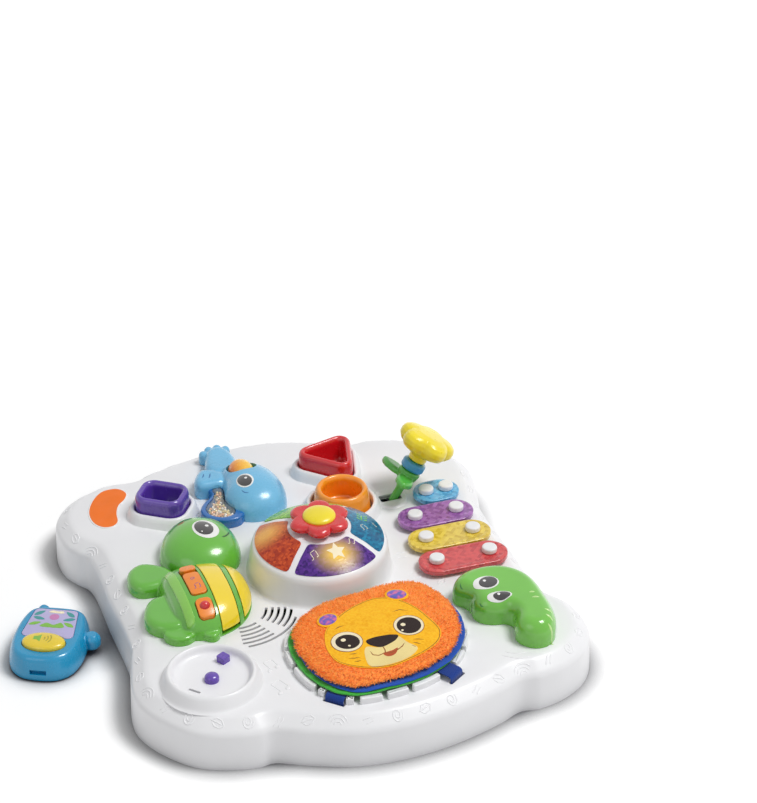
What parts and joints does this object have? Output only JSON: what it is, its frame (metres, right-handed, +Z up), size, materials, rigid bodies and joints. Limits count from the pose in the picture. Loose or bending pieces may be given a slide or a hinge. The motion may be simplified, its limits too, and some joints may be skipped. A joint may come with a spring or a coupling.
{
  "type": "musical activity table",
  "caption": "Low toddler activity table with press cups, light-up drum, animal mouldings, xylophone bars, a flower lever, a cloth lion book and a toy phone beside it.",
  "frame": {"origin": "centre of the table's underside, on the floor", "axes": "+X right along the front edge, +Y away from the lion book, +Z up"},
  "size_m": [0.4897, 0.466, 0.1208],
  "materials": {
    "white_plastic": "smooth gloss",
    "purple_plastic": "smooth gloss",
    "purple_lens": "translucent gloss",
    "red_lens": "translucent gloss",
    "blue_lens": "translucent gloss",
    "green_lens": "translucent gloss",
    "red_plastic": "smooth gloss",
    "orange_plastic": "smooth gloss",
    "yellow_plastic": "smooth gloss",
    "green_plastic": "smooth gloss",
    "sky_blue_plastic": "smooth gloss",
    "phone_blue_plastic": "smooth gloss",
    "printed_panel": "printed gloss",
    "clear_plastic": "clear",
    "circuit_board": "matt",
    "steel": "bright",
    "black_paper": "matt",
    "rubber_pad": "matt",
    "orange_plush": "short plush",
    "blue_cloth": "woven",
    "green_cloth": "woven"
  },
  "bodies": {
    "table": {"top_shell": "white_plastic", "bottom_cover": "white_plastic", "battery_door": "white_plastic", "bar_red_cap_left": "white_plastic", "bar_red_cap_right": "white_plastic", "bar_yellow_cap_left": "white_plastic", "bar_yellow_cap_right": "white_plastic", "bar_purple_cap_left": "white_plastic", "bar_purple_cap_right": "white_plastic", "bar_blue_cap_left": "white_plastic", "bar_blue_cap_right": "white_plastic", "drum_lens_front": "purple_lens", "drum_lens_left": "red_lens", "drum_lens_right": "blue_lens", "drum_lens_back": "green_lens", "label_plate": "orange_plastic", "bead_heap": "orange_plastic", "turtle_band": "yellow_plastic", "turtle_rump": "yellow_plastic", "turtle_body": "green_plastic", "inchworm": "green_plastic", "elephant_body": "sky_blue_plastic", "bead_window": "clear_plastic", "main_board": "circuit_board", "turtle_board": "circuit_board", "battery_door_screw": "steel", "battery_left": "steel", "battery_right": "steel", "lever_pin": "steel", "speaker": "black_paper", "square_switch_pad": "rubber_pad", "triangle_switch_pad": "rubber_pad", "ring_switch_pad": "rubber_pad", "flower_switch_pad": "rubber_pad", "book_strap_left": "blue_cloth", "book_strap_right": "blue_cloth", "green_page": "green_cloth"},
    "square_cup": {"square_button": "purple_plastic"},
    "triangle_cup": {"triangle_button": "red_plastic"},
    "ring_cup": {"ring_button": "orange_plastic"},
    "flower": {"flower_button": "red_plastic", "flower_button_centre": "yellow_plastic"},
    "key_upper": {"turtle_key_upper": "orange_plastic"},
    "key_lower": {"turtle_key_lower": "orange_plastic"},
    "square_peg": {"dish_square_peg": "purple_plastic"},
    "round_peg": {"dish_round_peg": "purple_plastic"},
    "red_bar": {"bar_red": "red_plastic"},
    "yellow_bar": {"bar_yellow": "yellow_plastic"},
    "purple_bar": {"bar_purple": "purple_plastic"},
    "blue_bar": {"bar_blue": "sky_blue_plastic"},
    "roller": {"elephant_roller": "orange_plastic"},
    "lever": {"lever_stem": "green_plastic", "lever_flower": "yellow_plastic"},
    "lever_spinner": {"lever_ring": "sky_blue_plastic"},
    "lion_leaf": {"lion_page": "orange_plush", "blue_page": "blue_cloth"},
    "phone": {"phone_case": "phone_blue_plastic", "phone_back": "phone_blue_plastic", "phone_panel": "printed_panel"},
    "phone_key": {"phone_button": "yellow_plastic"}
  },
  "joints": [
    {"name": "square_button_press", "type": "slide", "parent": "table", "child": "square_cup", "axis": [0, 0, -1], "range_m": [0, 0.003], "stiffness_N_per_m": 1000, "springref_m": -0.001, "deforming": ["square_switch_pad"]},
    {"name": "triangle_button_press", "type": "slide", "parent": "table", "child": "triangle_cup", "axis": [0, 0, -1], "range_m": [0, 0.003], "stiffness_N_per_m": 1000, "springref_m": -0.001, "deforming": ["triangle_switch_pad"]},
    {"name": "ring_button_press", "type": "slide", "parent": "table", "child": "ring_cup", "axis": [0, 0, -1], "range_m": [0, 0.003], "stiffness_N_per_m": 1000, "springref_m": -0.001, "deforming": ["ring_switch_pad"]},
    {"name": "flower_button_press", "type": "slide", "parent": "table", "child": "flower", "axis": [0, 0, -1], "range_m": [0, 0.003], "stiffness_N_per_m": 1000, "springref_m": -0.001, "deforming": ["flower_switch_pad"]},
    {"name": "turtle_key_upper_press", "type": "slide", "parent": "table", "child": "key_upper", "axis": [0, 0, -1], "range_m": [0, 0.002], "stiffness_N_per_m": 800, "springref_m": -0.001},
    {"name": "turtle_key_lower_press", "type": "slide", "parent": "table", "child": "key_lower", "axis": [0, 0, -1], "range_m": [0, 0.002], "stiffness_N_per_m": 800, "springref_m": -0.001},
    {"name": "dish_square_peg_press", "type": "slide", "parent": "table", "child": "square_peg", "axis": [0, 0, -1], "range_m": [0, 0.002], "stiffness_N_per_m": 600, "springref_m": -0.001},
    {"name": "dish_round_peg_press", "type": "slide", "parent": "table", "child": "round_peg", "axis": [0, 0, -1], "range_m": [0, 0.002], "stiffness_N_per_m": 600, "springref_m": -0.001},
    {"name": "red_bar_press", "type": "slide", "parent": "table", "child": "red_bar", "axis": [0, 0, -1], "range_m": [0, 0.0015], "stiffness_N_per_m": 1200, "springref_m": -0.001},
    {"name": "yellow_bar_press", "type": "slide", "parent": "table", "child": "yellow_bar", "axis": [0, 0, -1], "range_m": [0, 0.0015], "stiffness_N_per_m": 1200, "springref_m": -0.001},
    {"name": "purple_bar_press", "type": "slide", "parent": "table", "child": "purple_bar", "axis": [0, 0, -1], "range_m": [0, 0.0015], "stiffness_N_per_m": 1200, "springref_m": -0.001},
    {"name": "blue_bar_press", "type": "slide", "parent": "table", "child": "blue_bar", "axis": [0, 0, -1], "range_m": [0, 0.0015], "stiffness_N_per_m": 1200, "springref_m": -0.001},
    {"name": "roller_spin", "type": "hinge", "parent": "table", "child": "roller", "pos_m": [-0.021, 0.149, 0.0624], "axis": [0, 1, 0], "continuous": true},
    {"name": "lever_tilt", "type": "hinge", "parent": "table", "child": "lever", "pos_m": [0.105, 0.078, 0.041], "axis": [0, -1, 0], "range_deg": [0, 45]},
    {"name": "lever_ring_spin", "type": "hinge", "parent": "lever", "child": "lever_spinner", "pos_m": [0.105, 0.078, 0.041], "axis": [0.515, 0, 0.8572], "continuous": true},
    {"name": "lion_page_turn", "type": "hinge", "parent": "table", "child": "lion_leaf", "pos_m": [0, -0.2045, 0.056], "axis": [1, 0, 0], "range_deg": [0, 150]},
    {"name": "phone_lift", "type": "slide", "parent": "table", "child": "phone", "axis": [0, 0, 1], "range_m": [0, 0.12]},
    {"name": "phone_button_press", "type": "slide", "parent": "phone", "child": "phone_key", "axis": [0, 0, -1], "range_m": [0, 0.0015], "stiffness_N_per_m": 800, "springref_m": -0.001}
  ]
}
